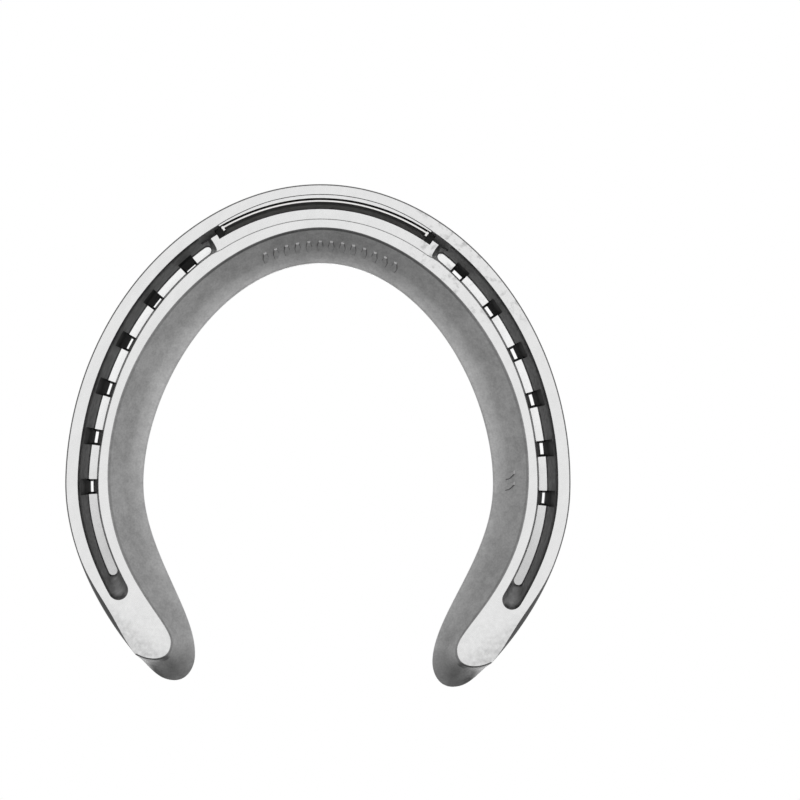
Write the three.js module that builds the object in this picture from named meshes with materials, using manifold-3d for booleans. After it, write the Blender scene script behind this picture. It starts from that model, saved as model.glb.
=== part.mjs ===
// A horseshoe: a forged aluminium hind racing plate with a steel wear insert pressed into its toe.
//
// Frame, in millimetres: +Z points up to the hoof, the toe points to +Y and the ground face lies on Z = 0.
// The origin is under the middle of the whole shoe's width and length, with its clip, which leans out past the
// toe. The shapes below are drawn about the middle of the shoe without its clip, and moved as a whole at the end.
//
// Every detail near the rim is placed in rim coordinates: a distance along the outer edge, measured from the
// middle of the toe (positive on the +X branch), and an inset from that edge towards the inside of the shoe.

import * as THREE from 'three';
import { mergeVertices } from 'three/addons/utils/BufferGeometryUtils.js';
import Module from 'manifold-3d';

// ---- Driving dimensions ----

const WIDTH = 119.5;
const LENGTH = 118.6;
const THICKNESS = 8;
const TOE_Y = LENGTH / 2;
const HEEL_Y = -LENGTH / 2;
const WIDEST_X = WIDTH / 2;

const WIDEST_Y = -11.8;

// Inner edge at the hoof side: how wide the toe's web is, and half the widest gap between the branches.
const WEB_AT_TOE = 18.5;
const INNER_WIDEST_X = 41.7;

// Inner edge of the ground face, where the inner slope starts.
const GROUND_WEB_AT_TOE = 10.5;
const GROUND_INNER_WIDEST_X = 49.55;
const GROUND_INNER_WIDEST_Y = -9.8;

// The inner side falls from the ground face to a narrow upright land at the hoof side.
const LAND_Z = 6;
const BELLY_Z = 4.3;
const BELLY_SHARE = 0.6;
const EDGE_BEVEL = 0.35;
const EDGE_BEVEL_Z = 1.2;
const HEEL_BEVEL = 0.5;
const HEEL_BEVEL_FROM = 98;
const HEEL_TIP_BEVEL = 0.15;
const HEEL_SETBACK = 2.6;

// The crease is the tapered groove that the nail heads sit in, one on each branch.
const CREASE_ENDS = { from: 32, to: 135.5, capFrom: 1.5, capTo: 2.6 };
const CREASE_FLOOR_ENDS = { from: 33, to: 129.4, capFrom: 1.1, capTo: 1.2 };
const CREASE = { outer: 3.1, inner: 7.95, innerAtHeel: 7.6 };
const CREASE_FLOOR = { outer: 5.3, inner: 7.15, outerAtHeel: 4.6, innerAtHeel: 6.8 };
const CREASE_DEPTH = 5;
const CREASE_TAPER_FROM = 88;

// Nail holes, punched through the floor of the crease.
const NAILS_PER_BRANCH = 6;
const FIRST_NAIL = 40.5;
const NAIL_PITCH = 12.88;
// The neck of a hole is its narrowest level; the necks at the toe lie further in than those at the heels.
const NECK_Z = 6.2;
const NECK_DRIFT = 0.5;
// Each level of a hole: height, length along the branch, and the insets of its outer and inner wall.
const NAIL_HOLE = [
  { z: -1, along: 4.2, outer: 3.15, inner: 7.7 },
  { z: CREASE_DEPTH, along: 4.2, outer: 4.4, inner: 7.5 },
  { z: NECK_Z, along: 2.85, outer: 6, inner: 6.75 },
  { z: THICKNESS, along: 3.3, outer: 5.55, inner: 8.2 },
  { z: THICKNESS + 1, along: 3.3, outer: 5.55, inner: 8.2 },
];

// The toe groove holds the steel insert; a narrow channel joins it to the crease on each side.
const GROOVE = { end: 29.9, outer: 3.35, inner: 6, depth: 4.5 };
const CHANNEL_ENDS = { from: 28.5, to: 34.5 };
const CHANNEL = { outer: 3.1, inner: 4.8 };
const CHANNEL_FLOOR = { outer: 4.2, inner: 4.7 };
const CHANNEL_DEPTH = 3.2;

// The metal beside the insert is pressed down a little, on its inner side as far as the creases.
const PRESSED_SIDES = [
  { end: 28.3, outer: 2.6, inner: 4.6, innerAtEnd: 4.6 },
  { end: 34, outer: 4.4, inner: 8.3, innerAtEnd: 7.9 },
];
const PRESSED_DEPTH = 0.25;
const PRESSED_TAPER = 3;

// The steel insert: a bar with a thin ridge on its outer side, closed by a thin wall at each end.
const FIT_GAP = 0.3;
const RIDGE_WIDTH = 0.7;
const INSERT_END = 28;
const INSERT_SLOPE_Z = 3;

// Shallow relief on the hoof side that keeps the inner web off the sole.
const SEAT = { end: 97, inset: 13.7, overrun: 24, depth: 0.4, cap: 9 };

// The toe clip, drawn up from the outer edge of the toe and leaning out past it. Its inner face is a plane.
const CLIP_HEIGHT = 12;
const CLIP_OVERHANG = 1.5;
const CLIP_FACE_FOOT = 2.95;
const CLIP_FACE_LEAN = 0.27;
const clipFace = (up) => CLIP_FACE_FOOT - CLIP_FACE_LEAN * up;
// Each level of the clip: height above the hoof face, then width and inset of its outer and inner face.
const CLIP_LEVELS = [
  { up: -2, outerWidth: 20.4, innerWidth: 18.2, outer: 0, inner: 3.8 },
  { up: 0, outerWidth: 20.4, innerWidth: 18.2, outer: 0, inner: 3.8 },
  { up: 0.9, outerWidth: 19.5, innerWidth: 16.8, outer: -0.11, inner: clipFace(0.9) },
  { up: 7, outerWidth: 12.8, innerWidth: 10.1, outer: -0.88, inner: clipFace(7) },
  { up: 10.8, outerWidth: 8.9, innerWidth: 6.4, outer: -1.38, inner: clipFace(10.8) },
  { up: 11.7, outerWidth: 7.3, innerWidth: 5.4, outer: -CLIP_OVERHANG, inner: clipFace(11.7) },
  { up: CLIP_HEIGHT, outerWidth: 5.8, innerWidth: 4.6, outer: -1.4, inner: -0.5 },
];
const CLIP_STEPS = 8;

// How far cutters run past the faces they open, and how finely curves are sampled.
const OVERRUN = 1;
const STEP = 2;
const CAP_STEPS = 8;
const OUTER_STEPS = 84;
const HEEL_STEPS = 12;
const INNER_STEPS = 60;

const wasm = await Module();
wasm.setup();

// ---- Outlines, each for the +X half of the shoe ----

function bezierChain(...pieces) {
  const chain = new THREE.CurvePath();
  for (const piece of pieces) {
    const points = piece.map(([x, y]) => new THREE.Vector2(x, y));
    chain.add(new THREE.CubicBezierCurve(...points));
  }
  return chain;
}

const HEEL_CORNER = [40.5, -54.8];
const INNER_HEEL = [28.3, -53.3];
const GROUND_INNER_HEEL = [33.6, -49.8];
const GROUND_INNER_WIDEST = [GROUND_INNER_WIDEST_X, GROUND_INNER_WIDEST_Y];
const HEEL_TIP_X = 33;
const GROUND_INNER_TOE_Y = TOE_Y - GROUND_WEB_AT_TOE;
const INNER_TOE_Y = TOE_Y - WEB_AT_TOE;

const rim = bezierChain(
  [[0, TOE_Y], [32, TOE_Y], [WIDEST_X, 27], [WIDEST_X, WIDEST_Y]],
  [[WIDEST_X, WIDEST_Y], [WIDEST_X, -28.3], [50.3, -44.3], HEEL_CORNER],
);
const rimLength = rim.getLength();

const hoofHeel = bezierChain(
  [HEEL_CORNER, [37.6, -57.9], [35.8, HEEL_Y], [HEEL_TIP_X, HEEL_Y]],
  [[HEEL_TIP_X, HEEL_Y], [30.2, HEEL_Y], [28.3, -56.6], INNER_HEEL],
);
const hoofInner = bezierChain(
  [INNER_HEEL, [28.3, -42.3], [INNER_WIDEST_X, -28.3], [INNER_WIDEST_X, WIDEST_Y]],
  [[INNER_WIDEST_X, WIDEST_Y], [INNER_WIDEST_X, 10.5], [24.5, INNER_TOE_Y], [0, INNER_TOE_Y]],
);
const groundInner = bezierChain(
  [GROUND_INNER_HEEL, [33.6, -44.5], [GROUND_INNER_WIDEST_X, -34], GROUND_INNER_WIDEST],
  [GROUND_INNER_WIDEST, [GROUND_INNER_WIDEST_X, 23], [22.4, GROUND_INNER_TOE_Y], [0, GROUND_INNER_TOE_Y]],
);

// The point at a distance along the rim and an inset from it; a negative distance is on the -X branch.
function rimPoint(distance, inset) {
  const share = Math.min(Math.abs(distance) / rimLength, 1);
  const point = rim.getPoint(share);
  const tangent = rim.getTangent(share);
  const side = distance < 0 ? -1 : 1;
  return new THREE.Vector2(side * (point.x + inset * tangent.y), point.y - inset * tangent.x);
}

// The outer edge of the ground face is bevelled all round, and a little more along the heels.
const groundRimEnd = rimLength - HEEL_SETBACK;

function clampedShare(value, from, to) {
  return THREE.MathUtils.clamp((value - from) / (to - from), 0, 1);
}

function groundBevel(distance) {
  const along = clampedShare(distance, HEEL_BEVEL_FROM, groundRimEnd);
  const swell = HEEL_BEVEL * Math.sin(Math.PI * along) ** 2;
  return THREE.MathUtils.lerp(EDGE_BEVEL, HEEL_TIP_BEVEL, along) + swell;
}

const groundCorner = rimPoint(groundRimEnd, groundBevel(groundRimEnd));
const groundHeel = bezierChain(
  [groundCorner.toArray(), [39.2, -54.6], [33.5, -54.9], GROUND_INNER_HEEL],
);

function sampled(chain, steps) {
  return Array.from({ length: steps }, (_, i) => chain.getPoint((i + 1) / steps));
}

// The closed outline of the shoe at one height. rise goes from 0 at the ground face to 1 at the land.
function shoeOutline(rise, bevelShare) {
  const half = [];
  const rimEnd = THREE.MathUtils.lerp(groundRimEnd, rimLength, rise);
  for (let i = 0; i <= OUTER_STEPS; i += 1) {
    const distance = (rimEnd * i) / OUTER_STEPS;
    half.push(rimPoint(distance, bevelShare * groundBevel(distance)));
  }
  const groundHeelPoints = sampled(groundHeel, HEEL_STEPS);
  const hoofHeelPoints = sampled(hoofHeel, HEEL_STEPS);
  const groundInnerPoints = sampled(groundInner, INNER_STEPS);
  const hoofInnerPoints = sampled(hoofInner, INNER_STEPS);
  const ground = [...groundHeelPoints, ...groundInnerPoints];
  const hoof = [...hoofHeelPoints, ...hoofInnerPoints];
  ground.forEach((point, i) => half.push(point.lerp(hoof[i], rise)));
  const mirrored = half.slice(1, -1).reverse().map((point) => new THREE.Vector2(-point.x, point.y));
  return [...half, ...mirrored];
}

// ---- Solids from stacked outlines ----

// A closed solid through outlines of equal point count, stacked from the lowest height to the highest.
function loft(levels) {
  const count = levels[0].outline.length;
  const clockwise = THREE.ShapeUtils.area(levels[0].outline) < 0;
  const outlines = levels.map(({ outline }) => (clockwise ? [...outline].reverse() : outline));
  const positions = [];
  const index = [];
  outlines.forEach((outline, level) => {
    outline.forEach((point) => positions.push(point.x, point.y, levels[level].z));
  });
  for (let level = 0; level < levels.length - 1; level += 1) {
    for (let i = 0; i < count; i += 1) {
      const a = level * count + i;
      const b = level * count + ((i + 1) % count);
      index.push(a, b, b + count, a, b + count, a + count);
    }
  }
  const top = (levels.length - 1) * count;
  const bottomFaces = THREE.ShapeUtils.triangulateShape(outlines[0], []);
  const topFaces = THREE.ShapeUtils.triangulateShape(outlines[levels.length - 1], []);
  bottomFaces.forEach(([a, b, c]) => index.push(a, c, b));
  topFaces.forEach(([a, b, c]) => index.push(top + a, top + b, top + c));
  const geometry = new THREE.BufferGeometry();
  geometry.setAttribute('position', new THREE.Float32BufferAttribute(positions, 3));
  geometry.setIndex(index);
  return toSolid(geometry);
}

function toSolid(geometry) {
  const merged = mergeVertices(geometry);
  return new wasm.Manifold(new wasm.Mesh({
    numProp: 3,
    vertProperties: new Float32Array(merged.attributes.position.array),
    triVerts: new Uint32Array(merged.index.array),
  }));
}

function toGeometry(solid) {
  const mesh = solid.getMesh();
  const geometry = new THREE.BufferGeometry();
  geometry.setAttribute('position', new THREE.Float32BufferAttribute(mesh.vertProperties, 3));
  geometry.setIndex(Array.from(mesh.triVerts));
  geometry.computeVertexNormals();
  return geometry;
}

function asFunction(inset) {
  return typeof inset === 'function' ? inset : () => inset;
}

// A closed strip in rim coordinates, from one distance to another and from an outer to an inner inset.
// Its ends are square, or half-ellipses that reach back by cap.
function strip({ from, to, outer, inner, capFrom = 0, capTo = 0, steps }) {
  const outerAt = asFunction(outer);
  const innerAt = asFunction(inner);
  const start = from + capFrom;
  const end = to - capTo;
  const distances = Array.from({ length: steps + 1 }, (_, i) => THREE.MathUtils.lerp(start, end, i / steps));
  const outline = distances.map((distance) => rimPoint(distance, outerAt(distance)));
  addCap(outline, end, capTo, outerAt(end), innerAt(end));
  distances.reverse().forEach((distance) => outline.push(rimPoint(distance, innerAt(distance))));
  addCap(outline, start, -capFrom, innerAt(start), outerAt(start));
  return outline;
}

function addCap(outline, distance, reach, firstInset, lastInset) {
  if (reach === 0) return;
  const middle = (firstInset + lastInset) / 2;
  const halfWidth = (lastInset - firstInset) / 2;
  for (let i = 1; i < CAP_STEPS; i += 1) {
    const angle = (Math.PI * i) / CAP_STEPS;
    outline.push(rimPoint(distance + reach * Math.sin(angle), middle - halfWidth * Math.cos(angle)));
  }
}

function stepsBetween(from, to) {
  return Math.max(1, Math.ceil((to - from) / STEP));
}

function mirrorX(solid) {
  return solid.mirror([1, 0, 0]);
}

// ---- The aluminium body ----

function blank() {
  const bevelRise = (BELLY_SHARE * EDGE_BEVEL_Z) / BELLY_Z;
  return loft([
    { z: 0, outline: shoeOutline(0, 1) },
    { z: EDGE_BEVEL_Z, outline: shoeOutline(bevelRise, 0) },
    { z: BELLY_Z, outline: shoeOutline(BELLY_SHARE, 0) },
    { z: LAND_Z, outline: shoeOutline(1, 0) },
    { z: THICKNESS, outline: shoeOutline(1, 0) },
  ]);
}

// Blends an inset from its value over most of the branch to its value at the heel end.
function taperedInset(value, valueAtHeel) {
  return (distance) => {
    const share = clampedShare(distance, CREASE_TAPER_FROM, CREASE_ENDS.to);
    return THREE.MathUtils.lerp(value, valueAtHeel, share);
  };
}

// A cutter that opens downwards through the ground face and closes to a narrower floor inside the metal.
function taperedCutter(opening, floor, depth) {
  return loft([
    { z: -OVERRUN, outline: opening },
    { z: 0, outline: opening },
    { z: depth, outline: floor },
  ]);
}

function creaseCutter() {
  const steps = stepsBetween(CREASE_ENDS.from, CREASE_ENDS.to);
  const opening = strip({
    ...CREASE_ENDS,
    outer: CREASE.outer,
    inner: taperedInset(CREASE.inner, CREASE.innerAtHeel),
    steps,
  });
  const floor = strip({
    ...CREASE_FLOOR_ENDS,
    outer: taperedInset(CREASE_FLOOR.outer, CREASE_FLOOR.outerAtHeel),
    inner: taperedInset(CREASE_FLOOR.inner, CREASE_FLOOR.innerAtHeel),
    steps,
  });
  return taperedCutter(opening, floor, CREASE_DEPTH);
}

function channelCutter() {
  const ends = { ...CHANNEL_ENDS, steps: stepsBetween(CHANNEL_ENDS.from, CHANNEL_ENDS.to) };
  return taperedCutter(strip({ ...ends, ...CHANNEL }), strip({ ...ends, ...CHANNEL_FLOOR }), CHANNEL_DEPTH);
}

// A hole is square to the rim, so each of its levels is one step of a strip.
function nailHoleCutter(nail) {
  const distance = FIRST_NAIL + nail * NAIL_PITCH;
  const drift = THREE.MathUtils.lerp(NECK_DRIFT, -NECK_DRIFT, nail / (NAILS_PER_BRANCH - 1));
  return loft(NAIL_HOLE.map(({ z, along, outer, inner }) => {
    const ends = { from: distance - along / 2, to: distance + along / 2, steps: 1 };
    const shift = z === NECK_Z ? drift : 0;
    return { z, outline: strip({ ...ends, outer: outer + shift, inner: inner + shift }) };
  }));
}

function grooveCutter() {
  const steps = stepsBetween(-GROOVE.end, GROOVE.end);
  const { outer, inner } = GROOVE;
  const outline = strip({ from: -GROOVE.end, to: GROOVE.end, outer, inner, steps });
  return loft([
    { z: -OVERRUN, outline },
    { z: GROOVE.depth, outline },
  ]);
}

function pressedCutters() {
  return PRESSED_SIDES.map(({ end, outer, inner, innerAtEnd }) => {
    const innerAt = (distance) => {
      const share = clampedShare(Math.abs(distance), end - PRESSED_TAPER, end);
      return THREE.MathUtils.lerp(inner, innerAtEnd, share);
    };
    const outline = strip({ from: -end, to: end, outer, inner: innerAt, steps: stepsBetween(-end, end) });
    return loft([
      { z: -OVERRUN, outline },
      { z: PRESSED_DEPTH, outline },
    ]);
  });
}

function seatCutter() {
  const outline = strip({
    from: -SEAT.end,
    to: SEAT.end,
    outer: SEAT.inset,
    inner: SEAT.overrun,
    capFrom: SEAT.cap,
    capTo: SEAT.cap,
    steps: stepsBetween(-SEAT.end, SEAT.end),
  });
  return loft([
    { z: THICKNESS - SEAT.depth, outline },
    { z: THICKNESS + OVERRUN, outline },
  ]);
}

// The outer face of the clip follows the curve of the toe, and its inner face is flat.
function clipOutline({ outerWidth, innerWidth, outer, inner }) {
  const outline = [];
  for (let i = 0; i <= CLIP_STEPS; i += 1) {
    const distance = outerWidth * (i / CLIP_STEPS - 0.5);
    outline.push(rimPoint(distance, outer));
  }
  for (let i = 0; i <= CLIP_STEPS; i += 1) {
    const x = innerWidth * (0.5 - i / CLIP_STEPS);
    outline.push(new THREE.Vector2(x, TOE_Y - inner));
  }
  return outline;
}

function toeClip() {
  return loft(CLIP_LEVELS.map((level) => ({ z: THICKNESS + level.up, outline: clipOutline(level) })));
}

function shoeBody() {
  let body = blank().add(toeClip()).subtract(seatCutter()).subtract(grooveCutter());
  for (const cutter of pressedCutters()) body = body.subtract(cutter);
  const branchCutters = [creaseCutter(), channelCutter()];
  for (let nail = 0; nail < NAILS_PER_BRANCH; nail += 1) {
    branchCutters.push(nailHoleCutter(nail));
  }
  for (const cutter of branchCutters) body = body.subtract(cutter).subtract(mirrorX(cutter));
  return toGeometry(body);
}

// ---- The steel insert ----

function toeInsert() {
  const outer = GROOVE.outer + FIT_GAP;
  const inner = GROOVE.inner - FIT_GAP;
  const depth = GROOVE.depth - FIT_GAP;
  const ends = { from: -INSERT_END, to: INSERT_END, steps: stepsBetween(-INSERT_END, INSERT_END) };
  const ridge = strip({ ...ends, outer, inner: outer + RIDGE_WIDTH });
  const full = strip({ ...ends, outer, inner });
  let insert = loft([
    { z: 0, outline: ridge },
    { z: INSERT_SLOPE_Z, outline: full },
    { z: depth, outline: full },
  ]);
  const wall = strip({ from: INSERT_END - RIDGE_WIDTH, to: INSERT_END, outer, inner, steps: 1 });
  const endWall = loft([
    { z: 0, outline: wall },
    { z: depth, outline: wall },
  ]);
  insert = insert.add(endWall).add(mirrorX(endWall));
  return toGeometry(insert);
}

// ---- Assembly ----

const aluminium = new THREE.MeshStandardMaterial({ color: '#b9babc', metalness: 1, roughness: 0.42 });
const steel = new THREE.MeshStandardMaterial({ color: '#8d8f92', metalness: 1, roughness: 0.3 });

function namedMesh(name, geometry, material) {
  const mesh = new THREE.Mesh(geometry, material);
  mesh.name = name;
  return mesh;
}

const horseshoe = new THREE.Group();
horseshoe.add(namedMesh('shoe_body', shoeBody(), aluminium));
horseshoe.add(namedMesh('toe_insert', toeInsert(), steel));
horseshoe.position.y = -CLIP_OVERHANG / 2;

export default horseshoe;
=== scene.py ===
"""A forged aluminium hind racing horseshoe with a steel wear insert in its toe, built on the CAD frame.

The shoe lies on its ground face at Z = 0, with the hoof side up and the toe towards +Y. The camera looks at
the ground side from below, so the floor is one-sided: it shows from above only.
Shapes are worked out in millimetres about the middle of the shoe without its clip. make_object() turns them
into metres and moves them to the middle of the whole shoe.
"""

import math

import bpy
import numpy as np
from mathutils import Matrix, Vector


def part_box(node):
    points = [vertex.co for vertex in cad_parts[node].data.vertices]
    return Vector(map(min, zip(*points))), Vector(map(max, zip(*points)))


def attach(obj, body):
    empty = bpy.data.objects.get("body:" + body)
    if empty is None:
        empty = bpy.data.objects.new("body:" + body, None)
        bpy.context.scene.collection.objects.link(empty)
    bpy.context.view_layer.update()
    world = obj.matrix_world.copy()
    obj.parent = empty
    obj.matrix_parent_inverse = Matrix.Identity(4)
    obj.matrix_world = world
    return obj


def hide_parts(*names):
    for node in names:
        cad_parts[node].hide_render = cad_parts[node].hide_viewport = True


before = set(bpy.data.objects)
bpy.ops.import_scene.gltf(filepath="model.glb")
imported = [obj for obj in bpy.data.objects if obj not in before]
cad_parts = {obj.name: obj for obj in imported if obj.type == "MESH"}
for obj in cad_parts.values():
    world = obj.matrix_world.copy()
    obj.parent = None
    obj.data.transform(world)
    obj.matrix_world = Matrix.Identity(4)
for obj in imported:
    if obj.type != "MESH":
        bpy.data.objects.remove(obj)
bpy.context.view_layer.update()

MM = 0.001

# ---- Driving dimensions, in millimetres ----

BODY_HIGH = np.array(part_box("shoe_body")[1]) / MM
CLIP_OVERHANG = 1.5
TO_CENTRE = np.array([0, -CLIP_OVERHANG / 2, 0])
WIDEST_X = BODY_HIGH[0]
TOE_Y = BODY_HIGH[1] + TO_CENTRE[1]
HEEL_Y = -TOE_Y
THICKNESS = 8.0
CLIP_HEIGHT = BODY_HIGH[2] - THICKNESS
WIDEST_Y = -11.8

WEB_AT_TOE = 18.5
INNER_WIDEST_X = 41.7
GROUND_WEB_AT_TOE = 10.5
GROUND_INNER_WIDEST = (49.55, -9.8)
HEEL_CORNER = (40.5, -54.8)
HEEL_TIP_X = 33.0
INNER_HEEL = (28.3, -53.3)
GROUND_INNER_HEEL = (33.6, -49.8)

# The inner slope is a shallow cove from the ground face up to the land. Its height follows from the share of
# its width that is crossed.
LAND_Z = 6.0
COVE_STEEP = 8.92
COVE_ROUND = 2.92
LAND_ROUNDING = 8

# Rounded edges.
GROUND_BEVEL = 0.4
GROUND_BEVEL_Z = 1.2
GROUND_BEVEL_FULLNESS = 1.25
HEEL_BEVEL = 0.85
HEEL_BEVEL_FROM = 118.0
HEEL_BEVEL_SKEW = 1.35
HEEL_TIP_BEVEL = 0.15
HEEL_SETBACK = 2.6
INNER_EDGE_RADIUS = 0.3
HOOF_EDGE_RADIUS = 0.3
LIP = 0.14

OUTLINE_STEP = 0.5


# ---- Curves and rim coordinates ----


class Chain:
    """Cubic Béziers joined end to end, read by the distance along them."""

    SAMPLES = 900

    def __init__(self, *pieces):
        t = np.linspace(0, 1, self.SAMPLES)[:, None]
        runs = []
        for a, b, c, d in (np.array(piece, float) for piece in pieces):
            back = 1 - t
            runs.append(back**3 * a + 3 * back**2 * t * b + 3 * back * t**2 * c + t**3 * d)
        self.points = np.vstack([runs[0], *(run[1:] for run in runs[1:])])
        steps = np.linalg.norm(np.diff(self.points, axis=0), axis=1)
        self.along = np.concatenate([[0], np.cumsum(steps)])
        self.length = self.along[-1]
        tangents = np.gradient(self.points, self.along, axis=0)
        self.tangents = tangents / np.linalg.norm(tangents, axis=1)[:, None]

    def read(self, table, distance):
        return np.column_stack([np.interp(distance, self.along, table[:, k]) for k in (0, 1)])

    def point(self, distance):
        return self.read(self.points, distance)

    def tangent(self, distance):
        return self.read(self.tangents, distance)

    def sampled(self, count):
        """count points after the first one, evenly spaced up to the end."""
        return self.point(self.length * np.arange(1, count + 1) / count)


RIM = Chain(
    [(0, TOE_Y), (32, TOE_Y), (WIDEST_X, 27), (WIDEST_X, WIDEST_Y)],
    [(WIDEST_X, WIDEST_Y), (WIDEST_X, -28.3), (50.3, -44.3), HEEL_CORNER],
)
HOOF_HEEL = Chain(
    [HEEL_CORNER, (37.6, -57.9), (35.8, HEEL_Y), (HEEL_TIP_X, HEEL_Y)],
    [(HEEL_TIP_X, HEEL_Y), (30.2, HEEL_Y), (28.3, -56.6), INNER_HEEL],
)
HOOF_INNER = Chain(
    [INNER_HEEL, (28.3, -42.3), (INNER_WIDEST_X, -28.3), (INNER_WIDEST_X, WIDEST_Y)],
    [
        (INNER_WIDEST_X, WIDEST_Y),
        (INNER_WIDEST_X, 10.5),
        (24.5, TOE_Y - WEB_AT_TOE),
        (0, TOE_Y - WEB_AT_TOE),
    ],
)
GROUND_INNER = Chain(
    [GROUND_INNER_HEEL, (33.6, -44.5), (GROUND_INNER_WIDEST[0], -34), GROUND_INNER_WIDEST],
    [
        GROUND_INNER_WIDEST,
        (GROUND_INNER_WIDEST[0], 23),
        (22.4, TOE_Y - GROUND_WEB_AT_TOE),
        (0, TOE_Y - GROUND_WEB_AT_TOE),
    ],
)
# The ground face ends before the rim does, and these two points shape its heel from there.
GROUND_RIM_END = RIM.length - HEEL_SETBACK
GROUND_HEEL_HANDLES = (39.2, -54.6), (33.5, -54.9)


def rim_points(distance, inset):
    """Points at distances along the outer edge from the toe, negative on the -X branch, and at insets."""
    distance, inset = np.broadcast_arrays(np.asarray(distance, float), np.asarray(inset, float))
    point = RIM.point(np.abs(distance))
    tangent = RIM.tangent(np.abs(distance))
    side = np.where(distance < 0, -1, 1)
    x, y = point[:, 0] + inset * tangent[:, 1], point[:, 1] - inset * tangent[:, 0]
    return np.column_stack([side * x, y])


def quarter(gap, fullness=2.0):
    """How far a rounded edge of radius 1 draws back at a gap of 0 to 1 from the flat face.

    A fullness of 2 is a quarter of a circle, and 1 is a straight chamfer.
    """
    return 1 - np.clip(1 - (1 - np.clip(gap, 0, 1)) ** fullness, 0, 1) ** (1 / fullness)


def share_between(value, low, high):
    return np.clip((value - low) / (high - low), 0, 1)


def ease(value, low, high):
    share = share_between(value, low, high)
    return share * share * (3 - 2 * share)


def ground_bevel(distance):
    along = share_between(distance, HEEL_BEVEL_FROM, GROUND_RIM_END)
    swell = HEEL_BEVEL * np.sin(np.pi * along**HEEL_BEVEL_SKEW) ** 2
    return GROUND_BEVEL + (HEEL_TIP_BEVEL - GROUND_BEVEL) * along + swell


# ---- Meshes from stacked outlines ----


def turn_sense(outline):
    """1 for a closed outline that runs anticlockwise, and -1 for a clockwise one."""
    after = np.roll(outline, -1, axis=0)
    return np.sign(np.sum(outline[:, 0] * after[:, 1] - after[:, 0] * outline[:, 1]))


def inward(outline, amount):
    """A closed outline drawn in by amount at each of its points."""
    tangent = np.roll(outline, -1, axis=0) - np.roll(outline, 1, axis=0)
    tangent /= np.linalg.norm(tangent, axis=1)[:, None]
    normal = np.column_stack([-tangent[:, 1], tangent[:, 0]])
    return outline + turn_sense(outline) * normal * np.reshape(amount, (-1, 1))


def with_mirror(half):
    """A closed outline from its +X half, which starts and ends on the middle plane."""
    return np.vstack([half, half[-2:0:-1] * (-1, 1)])


def closed_smooth(points, passes):
    for _ in range(passes):
        points = (np.roll(points, 1, axis=0) + 2 * points + np.roll(points, -1, axis=0)) / 4
    return points


def open_smooth(points, passes):
    points = points.copy()
    for _ in range(passes):
        points[1:-1] = (points[:-2] + 2 * points[1:-1] + points[2:]) / 4
    return points


def loft(levels):
    """Vertices and faces of a closed solid through (height, outline) levels, from the lowest up."""
    count = len(levels[0][1])
    order = slice(None, None, -1) if turn_sense(levels[0][1]) < 0 else slice(None)
    vertices = np.vstack([np.column_stack([outline[order], np.full(count, z)]) for z, outline in levels])
    faces = [tuple(range(count - 1, -1, -1))]
    for level in range(len(levels) - 1):
        low = level * count
        for i in range(count):
            j = (i + 1) % count
            faces.append((low + i, low + j, low + count + j, low + count + i))
    top = (len(levels) - 1) * count
    faces.append(tuple(range(top, top + count)))
    return vertices, faces


def mirrored(solid):
    vertices, faces = solid
    return vertices * (-1, 1, 1), [face[::-1] for face in faces]


def together(*solids):
    """Solids that don't touch, as one."""
    vertices, faces, start = [], [], 0
    for points, loops in solids:
        vertices.append(points)
        faces += [tuple(start + i for i in loop) for loop in loops]
        start += len(points)
    return np.vstack(vertices), faces


def prism(low, high):
    """A closed solid between two rings of the same number of points."""
    count = len(low)
    sides = [(i, (i + 1) % count, count + (i + 1) % count, count + i) for i in range(count)]
    ends = tuple(range(count - 1, -1, -1)), tuple(range(count, 2 * count))
    return np.vstack([low, high]), [ends[0], *sides, ends[1]]


def both_branches(solid):
    return together(solid, mirrored(solid))


def make_object(name, solid, material):
    vertices, faces = solid
    mesh = bpy.data.meshes.new(name)
    mesh.from_pydata(((vertices + TO_CENTRE) * MM).tolist(), [], faces)
    mesh.update()
    mesh.materials.append(material)
    made = bpy.data.objects.new(name, mesh)
    bpy.context.scene.collection.objects.link(made)
    return made


def combine(body, solid, operation, material):
    """Joins or cuts a solid with a body; the faces that it leaves take the solid's material."""
    tool = make_object("tool", solid, material)
    modifier = body.modifiers.new("combine", "BOOLEAN")
    modifier.solver = "MANIFOLD"
    modifier.material_mode = "TRANSFER"
    modifier.operation = operation
    modifier.object = tool
    bpy.context.view_layer.update()
    depsgraph = bpy.context.evaluated_depsgraph_get()
    result = bpy.data.meshes.new_from_object(body.evaluated_get(depsgraph))
    body.modifiers.clear()
    old, body.data = body.data, result
    bpy.data.meshes.remove(old)
    bpy.data.meshes.remove(tool.data)


# ---- The blank: the bent bar, before anything is pressed into it ----

# Heights of the blank's levels between its edges; they lie close together where the cove meets the land.
COVE_LEVELS = np.arange(1.6, 5.5, 0.4)
CORNER_LEVELS = np.arange(5.5, 6.8, 0.1)
LAND_LEVELS = [7.2]


def slope_share():
    """Heights and shares of the inner side: the cove, the rounded corner and the upright land."""
    cove = np.linspace(0, 1, 120)
    heights = COVE_STEEP * cove - COVE_ROUND * cove**2
    land = np.linspace(LAND_Z, THICKNESS, 40)[1:]
    profile = np.column_stack([np.append(heights, land), np.append(cove, np.ones(len(land)))])
    profile = open_smooth(profile, LAND_ROUNDING)
    return profile[:, 0], profile[:, 1]


SLOPE_Z, SLOPE_SHARE = slope_share()


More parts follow.
